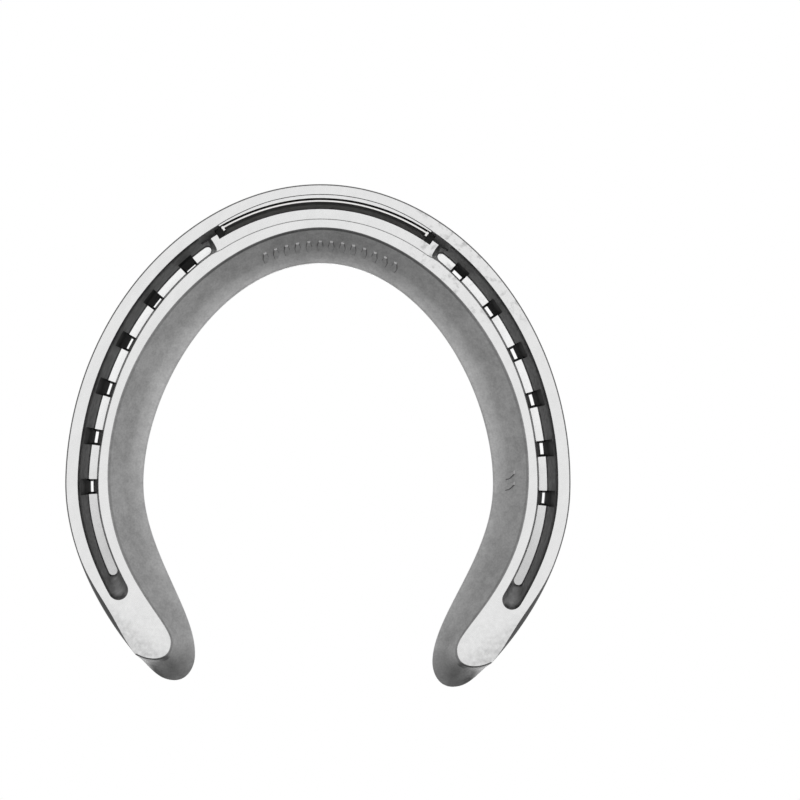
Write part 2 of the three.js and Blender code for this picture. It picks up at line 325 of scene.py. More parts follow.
def shoe_outline(z):
    """The closed outline of the blank at a height."""
    rise = np.interp(z, SLOPE_Z, SLOPE_SHARE)
    rim_end = GROUND_RIM_END + (RIM.length - GROUND_RIM_END) * rise
    bevel_share = quarter(z / GROUND_BEVEL_Z, GROUND_BEVEL_FULLNESS)
    outer_steps = round(RIM.length / OUTLINE_STEP)
    heel_steps = round(HOOF_HEEL.length / OUTLINE_STEP)
    inner_steps = round(HOOF_INNER.length / OUTLINE_STEP)
    distance = np.linspace(0, rim_end, outer_steps + 1)
    outer = rim_points(distance, ground_bevel(distance) * bevel_share)
    corner = rim_points([GROUND_RIM_END], ground_bevel(GROUND_RIM_END) * bevel_share)[0]
    ground_heel = Chain([corner, *GROUND_HEEL_HANDLES, GROUND_INNER_HEEL])
    ground = np.vstack([ground_heel.sampled(heel_steps), GROUND_INNER.sampled(inner_steps)])
    hoof = np.vstack([HOOF_HEEL.sampled(heel_steps), HOOF_INNER.sampled(inner_steps)])
    inner = ground + (hoof - ground) * rise
    half = np.vstack([outer, inner])
    outline = with_mirror(half)
    edge = np.full(len(outline), HOOF_EDGE_RADIUS * quarter((THICKNESS - z) / HOOF_EDGE_RADIUS))
    on_inner = slice(len(outer), len(half) + len(inner) - 1)
    edge[on_inner] += INNER_EDGE_RADIUS * quarter(z / INNER_EDGE_RADIUS)
    return inward(outline, edge)


def blank():
    heights = np.concatenate([
        GROUND_BEVEL_Z * (1 - np.cos(np.linspace(0, np.pi / 2, 12))),
        COVE_LEVELS,
        CORNER_LEVELS,
        LAND_LEVELS,
        THICKNESS - HOOF_EDGE_RADIUS * np.cos(np.linspace(0, np.pi / 2, 7)),
    ])
    return loft([(z, shoe_outline(z)) for z in np.unique(heights.round(5))])


# ---- Cutters in rim coordinates ----

CUTTER_STEP = 0.8
CAP_STEPS = 16
ROUND_STEPS = 5
OVERRUN = 1.0


def strip(ends, outer, inner, caps=(0.0, 0.0), grow=0.0, count=None):
    """A closed strip along the rim; its ends are square, or half-ellipses that reach back by the caps."""
    count = count or steps_between(ends)
    start, stop = ends[0] - grow + caps[0], ends[1] + grow - caps[1]
    distance = np.linspace(start, stop, count)
    outer_insets = inset_at(outer, distance) - grow
    inner_insets = inset_at(inner, distance) + grow
    parts = [rim_points(distance, outer_insets)]
    parts.append(cap(stop, caps[1], outer_insets[-1], inner_insets[-1]))
    parts.append(rim_points(distance[::-1], inner_insets[::-1]))
    parts.append(cap(start, -caps[0], inner_insets[0], outer_insets[0]))
    return np.vstack([part for part in parts if len(part)])


def steps_between(ends):
    return max(2, round((ends[1] - ends[0]) / CUTTER_STEP) + 1)


def inset_at(inset, distance):
    return inset(distance) if callable(inset) else np.full(distance.shape, float(inset))


def cap(distance, reach, first, last):
    if not reach:
        return np.empty((0, 2))
    angle = np.pi * np.arange(1, CAP_STEPS) / CAP_STEPS
    insets = (first + last) / 2 - (last - first) / 2 * np.cos(angle)
    return rim_points(distance + reach * np.sin(angle), insets)


def pressed_solid(opening, floor, depth, lip=LIP, fillet=0.25, taper_steps=6):
    """A cutter through the ground face: a rounded lip, a tapered wall and a filleted floor.

    opening and floor are functions that give an outline grown by a distance.
    """
    levels = [(-OVERRUN, opening(lip))]
    for turn in np.linspace(0, np.pi / 2, ROUND_STEPS):
        levels.append((lip * (1 - np.cos(turn)), opening(lip * (1 - np.sin(turn)))))
    for share in np.linspace(0, 1, taper_steps + 1)[1:-1]:
        outline = opening(0) * (1 - share) + floor(0) * share
        levels.append((lip + (depth - fillet - lip) * share, outline))
    for turn in np.linspace(0, np.pi / 2, ROUND_STEPS):
        levels.append((depth - fillet * (1 - np.sin(turn)), floor(-fillet * (1 - np.cos(turn)))))
    return loft(levels)


CREASE_ENDS, CREASE_CAPS = (31.7, 135.5), (0.5, 2.6)
CREASE_FLOOR_ENDS, CREASE_FLOOR_CAPS = (33.0, 129.4), (1.4, 1.2)
CREASE_DEPTH = 5.0
CREASE_TAPER_FROM = 88.0
# Insets at the toe and at the heel.
CREASE_OUTER = (3.1, 3.1)
CREASE_INNER = (7.95, 7.6)
CREASE_FLOOR_OUTER = (5.3, 4.6)
CREASE_FLOOR_INNER = (7.45, 7.1)


def tapered(insets, start=CREASE_TAPER_FROM, end=CREASE_ENDS[1]):
    """An inset that changes from the first value to the second between two distances along a branch."""
    first, second = insets
    return lambda distance: first + (second - first) * share_between(np.abs(distance), start, end)


def crease_opening(grow):
    return strip(CREASE_ENDS, tapered(CREASE_OUTER), tapered(CREASE_INNER), CREASE_CAPS, grow)


def crease_floor(grow):
    insets = tapered(CREASE_FLOOR_OUTER), tapered(CREASE_FLOOR_INNER)
    return strip(CREASE_FLOOR_ENDS, *insets, CREASE_FLOOR_CAPS, grow, steps_between(CREASE_ENDS))


def crease():
    return pressed_solid(crease_opening, crease_floor, CREASE_DEPTH)


# A narrow channel joins each crease to the toe groove.
CHANNEL_ENDS = (28.5, 34.5)
CHANNEL_INSETS = (3.1, 4.8)
CHANNEL_FLOOR_INSETS = (4.15, 4.75)
CHANNEL_DEPTH = 3.2


def channel():
    return pressed_solid(
        lambda grow: strip(CHANNEL_ENDS, *CHANNEL_INSETS, grow=grow),
        lambda grow: strip(CHANNEL_ENDS, *CHANNEL_FLOOR_INSETS, grow=grow / 2),
        CHANNEL_DEPTH,
    )


NAILS_PER_BRANCH = 6
FIRST_NAIL = 40.5
NAIL_PITCH = 12.88
# Each level of a nail hole: height, length along the branch, the insets of its outer and inner wall, and
# how far each wall lies further in on the first hole and further out on the last.
NAIL_HOLE = [
    (-1.0, 4.2, 3.15, 7.7, 0.0, 0.0),
    (4.9, 4.2, 4.75, 7.5, 0.45, 0.0),
    (5.05, 4.1, 4.85, 7.46, 0.45, 0.02),
    (6.1, 2.9, 5.9, 6.8, 0.47, 0.47),
    (6.3, 2.85, 6.0, 6.75, 0.5, 0.5),
    (7.8, 3.25, 5.58, 8.17, 0.0, 0.0),
    (7.9, 3.32, 5.54, 8.21, 0.0, 0.0),
    (8.02, 3.5, 5.45, 8.3, 0.0, 0.0),
    (9.0, 3.5, 5.45, 8.3, 0.0, 0.0),
]
# The throat is the narrow part between these heights. On the +X branch the first holes are punched narrower:
# this share of the throat stays closed on the first one, and the step less at each hole after it.
NAIL_THROAT = (5.5, 7.0)
THROAT_CLOSED, THROAT_STEP = 0.7, 0.14


def nail_hole(nail, closed):
    distance = FIRST_NAIL + nail * NAIL_PITCH
    side = 1 - 2 * nail / (NAILS_PER_BRANCH - 1)
    levels = []
    for z, along, outer, inner, outer_drift, inner_drift in NAIL_HOLE:
        ends = distance - along / 2, distance + along / 2
        outer, inner = outer + side * outer_drift, inner + side * inner_drift
        if NAIL_THROAT[0] < z < NAIL_THROAT[1]:
            outer += closed * (inner - outer)
        levels.append((z, strip(ends, outer, inner, count=4)))
    return loft(levels)


def nail_holes():
    nails = range(NAILS_PER_BRANCH)
    narrow = [nail_hole(nail, max(0, THROAT_CLOSED - THROAT_STEP * nail)) for nail in nails]
    return together(*narrow, *(mirrored(nail_hole(nail, 0)) for nail in nails))


GROOVE_END, GROOVE_OUTER, GROOVE_INNER, GROOVE_DEPTH = 29.9, 3.35, 6.0, 4.5
# Each pressed side: its end, the length of its taper, and its outer and inner insets before and after it.
PRESSED_SIDES = [(28.3, 14.0, (2.6, 3.05), (4.6, 4.6)), (34.0, 3.0, (4.4, 4.4), (8.3, 7.9))]
PRESSED_DEPTH = 0.25
PRESSED_EDGE = 0.34
# The soft edge of a pressed side: heights, and shares of PRESSED_EDGE that the outline is grown by.
PRESSED_LEVELS = [
    (-OVERRUN, 1.0),
    (0.3 * PRESSED_DEPTH, 0.4),
    (0.8 * PRESSED_DEPTH, 0.0),
    (PRESSED_DEPTH, -0.6),
]


def groove():
    def outline(grow):
        return strip((-GROOVE_END, GROOVE_END), GROOVE_OUTER, GROOVE_INNER, grow=grow)

    return pressed_solid(outline, outline, GROOVE_DEPTH, lip=0.1, fillet=0.15, taper_steps=2)


def pressed_side(end, taper, outer, inner):
    """The metal beside the insert, pressed down with a soft edge."""
    insets = [tapered(pair, end - taper, end) for pair in (outer, inner)]
    levels = [(z, strip((-end, end), *insets, grow=PRESSED_EDGE * share)) for z, share in PRESSED_LEVELS]
    return loft(levels)


SEAT_END, SEAT_INSET, SEAT_OVERRUN, SEAT_DEPTH, SEAT_CAP = 97.0, 13.7, 24.0, 0.4, 9.0
# The step at the seat's edge: heights above its floor, and how far the outline is grown there.
SEAT_STEP = [
    (0.0, -0.45),
    (0.06, -0.2),
    (0.2, 0.0),
    (0.34, 0.2),
    (0.42, 0.45),
    (SEAT_DEPTH + OVERRUN, 0.45),
]


def seat():
    """Shallow relief on the hoof side that keeps the inner web off the sole."""
    ends, caps = (-SEAT_END, SEAT_END), (SEAT_CAP, SEAT_CAP)
    levels = []
    for up, grow in SEAT_STEP:
        outline = strip(ends, SEAT_INSET, SEAT_OVERRUN, caps, grow)
        levels.append((THICKNESS - SEAT_DEPTH + up, outline))
    return loft(levels)


# ---- The toe clip ----

CLIP_FACE_FOOT = 2.95
CLIP_FACE_LEAN = 0.27
CLIP_FILLET = 1.1
CLIP_FRONT_POINTS = 40
CLIP_POINTS = 160
CLIP_ROUNDING = 9
# Near its top the clip narrows as an ellipse, and its inner face curves outwards.
CROWN_FROM = 10.2
CROWN_REACH = 1.84
CROWN_CURVE = 0.75
CROWN_CURVE_SPAN = (CLIP_HEIGHT - 1.0, CLIP_HEIGHT + 0.4)
# How much of the foot's fillet widens the outer and the inner face.
FILLET_SHARES = (0.35, 0.7)
# Heights above the hoof face, and the clip's outer width, inner width and outer inset at each.
CLIP_SHAPE = np.array([
    (-2.0, 20.0, 18.2, 0.60),
    (-0.6, 20.4, 18.2, 0.10),
    (0.0, 20.4, 18.0, -0.01),
    (0.9, 19.4, 16.6, -0.11),
    (3.0, 17.2, 14.4, -0.38),
    (7.0, 12.8, 10.0, -0.82),
    (10.2, 9.6, 7.0, -1.15),
    (11.2, 9.0, 6.6, -1.32),
    (11.8, 8.8, 6.4, -1.42),
    (12.0, 8.7, 6.3, -1.33),
])


def even_closed(outline, count):
    """A closed outline read at count evenly spaced points."""
    ring = np.vstack([outline, outline[:1]])
    along = np.concatenate([[0], np.cumsum(np.linalg.norm(np.diff(ring, axis=0), axis=1))])
    wanted = np.linspace(0, along[-1], count, endpoint=False)
    return np.column_stack([np.interp(wanted, along, ring[:, k]) for k in (0, 1)])


def clip_outline(up):
    heights = CLIP_SHAPE[:, 0]
    outer_width, inner_width, outer = (np.interp(up, heights, CLIP_SHAPE[:, k]) for k in (1, 2, 3))
    crown_width = math.sqrt(1 - share_between(up, CROWN_FROM, CROWN_FROM + CROWN_REACH) ** 2)
    fillet = CLIP_FILLET * quarter(up / CLIP_FILLET)
    inner = CLIP_FACE_FOOT - CLIP_FACE_LEAN * up + fillet - CROWN_CURVE * ease(up, *CROWN_CURVE_SPAN)
    side = crown_width * outer_width / 2 + FILLET_SHARES[0] * fillet
    back = crown_width * inner_width / 2 + FILLET_SHARES[1] * fillet
    distance = np.linspace(0, side, CLIP_FRONT_POINTS)
    half = np.vstack([rim_points(distance, outer), [(back, TOE_Y - inner), (0, TOE_Y - inner)]])
    outline = with_mirror(half)
    return closed_smooth(even_closed(outline, CLIP_POINTS), CLIP_ROUNDING)


def toe_clip():
    heights = np.concatenate([
        [-2.0, -1.2, -0.6, -0.3],
        CLIP_FILLET * (1 - np.cos(np.linspace(0, np.pi / 2, 10))),
        np.linspace(1.5, CLIP_HEIGHT - 1.2, 16),
        CLIP_HEIGHT - 0.8 * np.cos(np.linspace(0, np.pi / 2, 7)),
    ])
    return loft([(THICKNESS + up, clip_outline(up)) for up in np.unique(heights.round(5))])


# ---- Plain marks, where a maker would mark the shoe ----

MARK_SINK = 0.5
MARK_HEIGHT = 0.34
MARK_TAPER = 0.7
HEXAGON = np.array([(-1, 0), (-0.5, -1), (0.5, -1), (1, 0), (0.5, 1), (-0.5, 1)])
# Rows of raised marks on the cove, half-way up it: the first and last distance along the rim, their number,
# and their half length and half share of the cove's width.
COVE_MARKS = [(-22.5, 18.5, 13, 0.95, 0.18), (-101.5, -98.2, 2, 0.95, 0.16)]
COVE_MARK_SHARE = 0.5
# Rows of marks pressed into the hoof side: distances along the rim, number, inset and half sizes.
HOOF_MARKS = [(-19.2, 19.2, 9, 9.4, 1.5, 1.9), (126, 137, 3, 9.6, 1.9, 2.3)]
HOOF_MARK_DEPTH = 0.3
HOOF_MARK_WALL = 0.5
HOOF_MARK_END_WALL = 0.4


def cove_point(along, share):
    """A point on the cove, at a distance from the toe along its middle and a share of its width."""
    middle_length = (GROUND_INNER.length + HOOF_INNER.length) / 2
    place = 1 - np.abs(along) / middle_length
    ground = GROUND_INNER.point(place * GROUND_INNER.length)
    hoof = HOOF_INNER.point(place * HOOF_INNER.length)
    point = ground + (hoof - ground) * share[:, None]
    side = np.where(along < 0, -1, 1)
    return np.column_stack([side * point[:, 0], point[:, 1], COVE_STEEP * share - COVE_ROUND * share**2])


def cove_mark(along, half_length, half_share):
    """A hexagon that stands up from the cove."""
    corner_along = along + HEXAGON[:, 0] * half_length
    corner_share = COVE_MARK_SHARE + HEXAGON[:, 1] * half_share
    ring = cove_point(corner_along, corner_share)
    normal = np.cross(ring[3] - ring[0], ring[4] - ring[2])
    normal *= -np.sign(normal[2]) / np.linalg.norm(normal)
    middle = ring.mean(axis=0)
    low = ring - normal * MARK_SINK
    high = middle + (ring - middle) * MARK_TAPER + normal * MARK_HEIGHT
    upright = np.cross(ring[1] - ring[0], ring[2] - ring[0]) @ normal > 0
    return prism(low, high) if upright else prism(low[::-1], high[::-1])


def cove_marks():
    rim_to_cove = HOOF_INNER.length / RIM.length
    marks = []
    for first, last, count, half_length, half_share in COVE_MARKS:
        for distance in np.linspace(first, last, count):
            marks.append(cove_mark(distance * rim_to_cove, half_length, half_share))
    return together(*marks)


def hoof_marks():
    marks = []
    for first, last, count, inset, half_length, half_width in HOOF_MARKS:
        for distance in np.linspace(first, last, count):
            levels = []
            for up, drawn_in in ((-HOOF_MARK_DEPTH, 1), (0, 0), (OVERRUN, 0)):
                along = half_length - HOOF_MARK_END_WALL * drawn_in
                across = half_width - HOOF_MARK_WALL * drawn_in
                corners = HEXAGON * (along, across)
                outline = rim_points(distance + corners[:, 0], inset + corners[:, 1])
                levels.append((THICKNESS + up, outline))
            marks.append(loft(levels))
    return together(*marks)


# ---- The steel insert ----

FIT_GAP = 0.3
RIDGE_WIDTH = 0.7
INSERT_END = 28.0
INSERT_SLOPE_Z = 3.0
INSERT_ROUND = 0.16
RIDGE_SETBACK = 0.12
END_WALL_INNER = 4.9


def insert_bar():
    """The bar: its ridge has rounded edges, and its inner side falls away in a slight hollow."""
    outer, inner = GROOVE_OUTER + FIT_GAP, GROOVE_INNER - FIT_GAP
    depth = GROOVE_DEPTH - FIT_GAP
    ends = (-INSERT_END, INSERT_END)
    levels = []
    for turn in np.linspace(0, np.pi / 2, 5):
        back = INSERT_ROUND * (1 - np.sin(turn))
        z = INSERT_ROUND * (1 - np.cos(turn))
        levels.append((z, strip(ends, outer + RIDGE_SETBACK + back, outer + RIDGE_WIDTH - back)))
    for share in np.linspace(0, 1, 9)[1:]:
        z = INSERT_ROUND + (INSERT_SLOPE_Z - INSERT_ROUND) * share**0.8
        ridge = outer + RIDGE_WIDTH
        insets = outer + RIDGE_SETBACK * (1 - share), ridge + (inner - ridge) * share
        levels.append((z, strip(ends, *insets)))
    levels.append((depth, strip(ends, outer, inner)))
    return loft(levels)


def insert_end_wall():
    outer, inner = GROOVE_OUTER + FIT_GAP, GROOVE_INNER - FIT_GAP
    ends = (INSERT_END - RIDGE_WIDTH, INSERT_END)
    levels = []
    for turn in np.linspace(0, np.pi / 2, 4):
        back = INSERT_ROUND * (1 - np.sin(turn))
        levels.append((INSERT_ROUND * (1 - np.cos(turn)), strip(ends, outer, END_WALL_INNER, grow=-back)))
    levels.append((GROOVE_DEPTH - FIT_GAP, strip(ends, outer, inner)))
    return loft(levels)


# ---- Materials ----


class Nodes:
    """Adds nodes to a tree. A field is a number or the output of a node."""

    def __init__(self, tree):
        self.tree = tree

    def node(self, kind, **settings):
        made = self.tree.nodes.new(kind)
        for name, value in settings.items():
            setattr(made, name, value)
        return made

    def feed(self, socket, field):
        if isinstance(field, bpy.types.NodeSocket):
            self.tree.links.new(field, socket)
        else:
            socket.default_value = field

    def split(self, vector):
        made = self.node("ShaderNodeSeparateXYZ")
        self.feed(made.inputs[0], vector)
        return made.outputs

    def maths(self, operation, *fields):
        made = self.node("ShaderNodeMath", operation=operation)
        for socket, field in zip(made.inputs, fields):
            self.feed(socket, field)
        return made.outputs[0]

    def ramp(self, field, low, high, from_value=0.0, to_value=1.0, smooth=True):
        """field's range low to high, as from_value to to_value."""
        kind = "SMOOTHSTEP" if smooth else "LINEAR"
        made = self.node("ShaderNodeMapRange", interpolation_type=kind)
        for socket, value in zip(made.inputs, (field, low, high, from_value, to_value)):
            self.feed(socket, value)
        return made.outputs[0]

    def blend(self, share, first, second):
        """first where share is 0 and second where it is 1, both numbers."""
        made = self.node("ShaderNodeMix", data_type="FLOAT")
        for socket, value in zip(made.inputs, (share, None, first, second)):
            if value is not None:
                self.feed(socket, value)
        return made.outputs[0]

    def times(self, first, second):
        return self.maths("MULTIPLY", first, second)

    def plus(self, first, second):
        return self.maths("ADD", first, second)

    def minus(self, first, second):
        return self.maths("SUBTRACT", first, second)

    def size_of(self, field):
        return self.maths("ABSOLUTE", field)

    def band(self, field, start, full, full_end, end):
        """1 where field lies between full and full_end, and 0 before start and after end."""
        return self.times(self.ramp(field, start, full), self.ramp(field, end, full_end))

    def total(self, *fields):
        made = fields[0]
        for field in fields[1:]:
            made = self.plus(made, field)
        return made


class Shading(Nodes):
    """One metal. Its brightness follows from the place on the shoe and the way that the surface faces, which
    paints light and shade into it in places.
    """

    NOISE_RANGE = (0.34, 0.66)

    def __init__(self, name):
        self.material = bpy.data.materials.new(name)
        self.material.use_nodes = True
        super().__init__(self.material.node_tree)
        self.surface = self.tree.nodes["Principled BSDF"]
        self.surface.inputs["Metallic"].default_value = 1
        self.place = self.node("ShaderNodeTexCoord").outputs["Object"]
        geometry = self.node("ShaderNodeNewGeometry")
        self.normal_x, self.normal_y, self.normal_z = self.split(geometry.outputs["Normal"])
        self.x, self.y, self.z = self.split(self.place)

    def contrast(self, field):
        """Noise spread out so that it fills the range from 0 to 1."""
        return self.ramp(field, *self.NOISE_RANGE, smooth=False)

    def facing_ground(self):
        """1 on a flat face that lies towards the ground, and 0 on any slope."""
        return self.ramp(self.normal_z, -0.955, -0.988)

    def radial(self):
        """How far a surface faces away from the middle of the shoe, from -1 to 1."""
        away = self.plus(self.times(self.normal_x, self.x), self.times(self.normal_y, self.y))
        across = self.plus(self.times(self.x, self.x), self.times(self.y, self.y))
        return self.maths("DIVIDE", away, self.maths("SQRT", across))

    def outer_heel(self):
        """1 at the outer corner of each heel, where the ground face is made darker and more mottled."""
        outwards = self.times(self.size_of(self.x), 0.6)
        return self.ramp(self.plus(outwards, self.times(self.y, -0.8)), 61.5 * MM, 66.5 * MM)

    def noise(self, size, detail=2.0, roughness=0.5, stretch=(1, 1, 1), turn=0.0):
        """Noise from 0 to 1 with features of a size in millimetres, stretched along the turned axes."""
        mapping = self.node("ShaderNodeMapping", vector_type="TEXTURE")
        mapping.inputs["Rotation"].default_value = (0, 0, turn)
        mapping.inputs["Scale"].default_value = [size * MM * share for share in stretch]
        self.feed(mapping.inputs["Vector"], self.place)
        made = self.node("ShaderNodeTexNoise")
        self.feed(made.inputs["Vector"], mapping.outputs[0])
        made.inputs["Scale"].default_value = 1
        made.inputs["Detail"].default_value = detail
        made.inputs["Roughness"].default_value = roughness
        return made.outputs["Fac"]

    def bump(self, height, millimetres):
        made = self.node("ShaderNodeBump")
        made.inputs["Distance"].default_value = millimetres * MM
        self.feed(made.inputs["Height"], height)
        self.tree.links.new(made.outputs[0], self.surface.inputs["Normal"])

    def grey(self, field, tint=(1, 1, 1)):
        """Sets the base colour to a brightness times a tint."""
        colour = self.node("ShaderNodeCombineColor")
        for socket, share in zip(colour.inputs, tint):
            self.feed(socket, self.times(field, share))
        self.tree.links.new(colour.outputs[0], self.surface.inputs["Base Color"])

    def rough(self, field):
        self.feed(self.surface.inputs["Roughness"], field)


BRUSH_TURN = math.radians(-68)


def brushed_flat(shading):
    """Brightness, roughness and height of a ground face that was brushed in one direction."""
    streaks = shading.contrast(shading.noise(0.2, 3, 0.6, (5, 1, 1), BRUSH_TURN))
    grain = shading.contrast(shading.noise(0.3, 2, 0.6))
    broad = shading.noise(2.6, 2, 0.5, (3, 1, 1), BRUSH_TURN)
    at_heel = shading.ramp(shading.y, -37 * MM, -47 * MM)
    outer_heel = shading.outer_heel()
    heel_mottle = shading.total(0.02, shading.times(at_heel, 0.05), shading.times(outer_heel, 0.12))
    mottle = shading.contrast(shading.noise(1.2, 3, 0.65))
    toe_quarter = shading.times(
        shading.ramp(shading.x, -17 * MM, -25 * MM),
        shading.ramp(shading.y, 24 * MM, 32 * MM),
    )
    scuffs = shading.times(shading.ramp(shading.noise(1.9, 3, 0.6), 0.5, 0.68), toe_quarter)
    brightness = shading.total(
        0.655,
        shading.times(streaks, 0.05),
        shading.times(grain, 0.05),
        shading.times(broad, 0.08),
        shading.times(at_heel, 0.015),
        shading.times(outer_heel, -0.07),
        shading.times(mottle, shading.times(heel_mottle, -1)),
        shading.times(scuffs, -0.22),
    )
    roughness = shading.plus(0.24, shading.times(streaks, 0.1))
    return brightness, roughness, streaks


def dull_and_shaded_edge(shading):
    """1 on the bevel round the outer edge of the ground face, which handling leaves dull and which gets
    painted shade where it turns away from the light below.
    """
    low = shading.ramp(shading.z, 1.3 * MM, 1.1 * MM)
    outward = shading.ramp(shading.radial(), 0.05, 0.3)
    off_flat = shading.ramp(shading.normal_z, -0.97, -0.88)
    return shading.times(shading.times(low, outward), off_flat)


def cove(shading):
    """Brightness of the inner side and the clip.

    It is mottled, with painted light towards the hoof and in a band along its upper part, painted shade at
    the heel tips and on the clip's sides, and a painted shade line along its lower edge.
    """
    fine = shading.contrast(shading.noise(0.5, 2, 0.6))
    mottle = shading.contrast(shading.noise(1.6, 3, 0.6))
    patches = shading.contrast(shading.noise(6, 2, 0.5))
    # Painted light: the cove is made lighter towards the hoof.
    painted_light_to_hoof = shading.ramp(shading.z, 3.4 * MM, 6 * MM)
    # A painted highlight runs as a light band along the upper part of the cove, except at the toe and the
    # heels.
    painted_band = shading.band(shading.z, 3.8 * MM, 4.8 * MM, 5.6 * MM, 6.4 * MM)
    painted_band = shading.times(painted_band, shading.band(shading.y, -25 * MM, 5 * MM, 34 * MM, 42 * MM))
    brightness = shading.total(
        0.48,
        shading.times(fine, 0.1),
        shading.times(mottle, 0.1),
        shading.times(patches, 0.1),
        shading.times(painted_light_to_hoof, 0.08),
        shading.times(painted_band, 0.1),
    )
    # Painted shade: the heel tips are darkened, mottled, and more so on the outer tip facets that turn
    # sideways.
    heel_tip = shading.ramp(shading.y, -50 * MM, -57 * MM)
    heel_tip_shade = shading.times(heel_tip, shading.plus(0.3, shading.times(mottle, 0.18)))
    shaded_outer_tip = shading.times(
        shading.ramp(shading.size_of(shading.x), 34 * MM, 38 * MM),
        shading.ramp(shading.y, -52.5 * MM, -54.5 * MM),
    )
    shaded_outer_tip = shading.times(shaded_outer_tip, shading.ramp(shading.normal_z, -0.25, -0.5))
    heel_tip_shade = shading.plus(heel_tip_shade, shading.times(shaded_outer_tip, 0.45))
    brightness = shading.times(brightness, shading.minus(1.0, heel_tip_shade))
    # Painted shade on the clip's side bevels, which face sideways.
    shaded_clip_side = shading.times(
        shading.ramp(shading.size_of(shading.normal_x), 0.25, 0.6),
        shading.ramp(shading.z, 8.3 * MM, 9 * MM),
    )
    brightness = shading.times(brightness, shading.plus(1.0, shading.times(shaded_clip_side, -0.45)))
    # Painted shade: a dark line along the cove's lower edge, stronger at the toe.
    at_toe = shading.ramp(shading.y, 20 * MM, 45 * MM)
    line = shading.ramp(shading.z, 0.6 * MM, 0.35 * MM)
    painted_line_shade = shading.times(line, shading.plus(0.22, shading.times(at_toe, 0.4)))
    return shading.times(brightness, shading.minus(1.0, painted_line_shade))


def sanded_hoof(shading):
    """Brightness and height of the hoof side: a fine sandy grain with painted glints as small bright points.
    """
    sand = shading.contrast(shading.noise(0.34, 3, 0.6))
    painted_glints = shading.ramp(shading.noise(0.42, 1, 0.5), 0.64, 0.72)
    mottle = shading.noise(2.4, 3, 0.55)
    brightness = shading.total(
        0.55,
        shading.times(sand, 0.2),
        shading.times(painted_glints, 0.22),
        shading.times(mottle, 0.12),
    )
    # Painted highlight: the fillet below the clip and the step of the seat, which tip away from the flat hoof
    # face, are made brighter.
    painted_tilt_highlight = shading.times(shading.ramp(shading.normal_z, 0.985, 0.9), 0.3)
    brightness = shading.plus(brightness, painted_tilt_highlight)
    return brightness, shading.plus(sand, painted_glints)


def forged_aluminium():
    shading = Shading("forged_aluminium")
    down = shading.facing_ground()
    up = shading.ramp(shading.normal_z, 0.45, 0.6)
    flat_brightness, flat_roughness, streaks = brushed_flat(shading)
    hoof_brightness, grain = sanded_hoof(shading)
    edge = dull_and_shaded_edge(shading)
    side = shading.blend(edge, cove(shading), 0.22)
    brightness = shading.blend(up, shading.blend(down, side, flat_brightness), hoof_brightness)
    roughness = shading.blend(up, shading.blend(down, 0.42, flat_roughness), 0.46)
    relief = shading.blend(down, grain, shading.times(streaks, 0.25))
    shading.grey(brightness)
    shading.rough(roughness)
    shading.bump(shading.times(relief, shading.blend(up, 0.3, 1.0)), 0.04)
    return shading.material


def stamped_aluminium():
    """Raised marks on the cove: painted highlight where they face the ground and painted shade on their other
    sides.
    """
    shading = Shading("stamped_aluminium")
    grain = shading.contrast(shading.noise(0.6, 2, 0.6))
    lit = shading.ramp(shading.normal_z, -0.55, -0.86)
    brightness = shading.plus(shading.blend(lit, 0.22, 0.62), shading.times(grain, 0.12))
    shading.grey(brightness)
    shading.rough(0.4)
    shading.bump(grain, 0.02)
    return shading.material


def shaded_crease_wall(shading):
    """Brightness of a crease's walls, painted shade in the recess: grey with dark edges on the outer wall,
    even on the inner one, and dark at the toe end.
    """
    grain = shading.contrast(shading.noise(0.6, 3, 0.6, (3, 1, 1), BRUSH_TURN))
    middle = shading.band(shading.z, 0.3 * MM, 1.6 * MM, 4.2 * MM, 4.8 * MM)
    inner_wall = shading.ramp(shading.radial(), 0.0, 0.3)
    wall = shading.blend(inner_wall, shading.blend(middle, 0.1, 0.46), 0.4)
    wall = shading.plus(wall, shading.times(grain, 0.15))
    shaded_toe_end = shading.times(
        shading.ramp(shading.size_of(shading.radial()), 0.55, 0.25),
        shading.ramp(shading.y, 0, 10 * MM),
    )
    return shading.blend(shaded_toe_end, wall, 0.12), grain


def creased_aluminium():
    """The crease: a bright floor between walls darkened by painted shade."""
    shading = Shading("creased_aluminium")
    down = shading.facing_ground()
    flat_brightness, flat_roughness, streaks = brushed_flat(shading)
    deep = shading.ramp(shading.z, 3 * MM, 4 * MM)
    heel_loss = shading.ramp(shading.y, 15 * MM, -40 * MM, 0, 0.32)
    gain = shading.minus(0.12, heel_loss)
    floor_brightness = shading.plus(flat_brightness, shading.times(deep, gain))
    wall, grain = shaded_crease_wall(shading)
    shading.grey(shading.blend(down, wall, floor_brightness))
    shading.rough(shading.blend(down, 0.5, flat_roughness))
    shading.bump(shading.blend(down, grain, shading.times(streaks, 0.25)), 0.03)
    return shading.material


def punched_aluminium(name, shallow, deep, inner):
    """A nail hole or the toe groove, with painted shade: darkest at its ends, and its outer wall darker deep
    down.

    shallow and deep are the brightness of its outer wall near the ground and deep down, and inner that of the
    wall that faces the rim.
    """
    shading = Shading(name)
    grain = shading.noise(0.5, 3, 0.6)
    # Painted shade: the end walls are nearly black, and the outer wall darkens with depth.
    facing = shading.ramp(shading.size_of(shading.radial()), 0.35, 0.7)
    wall = shading.ramp(shading.z, 1.5 * MM, 5.2 * MM, shallow, deep)
    wall = shading.blend(shading.ramp(shading.radial(), 0.2, 0.5), wall, inner)
    brightness = shading.plus(shading.blend(facing, 0.02, wall), shading.times(grain, 0.05))
    shading.grey(brightness)
    shading.rough(shading.plus(0.4, shading.times(grain, 0.2)))
    shading.bump(grain, 0.03)
    return shading.material


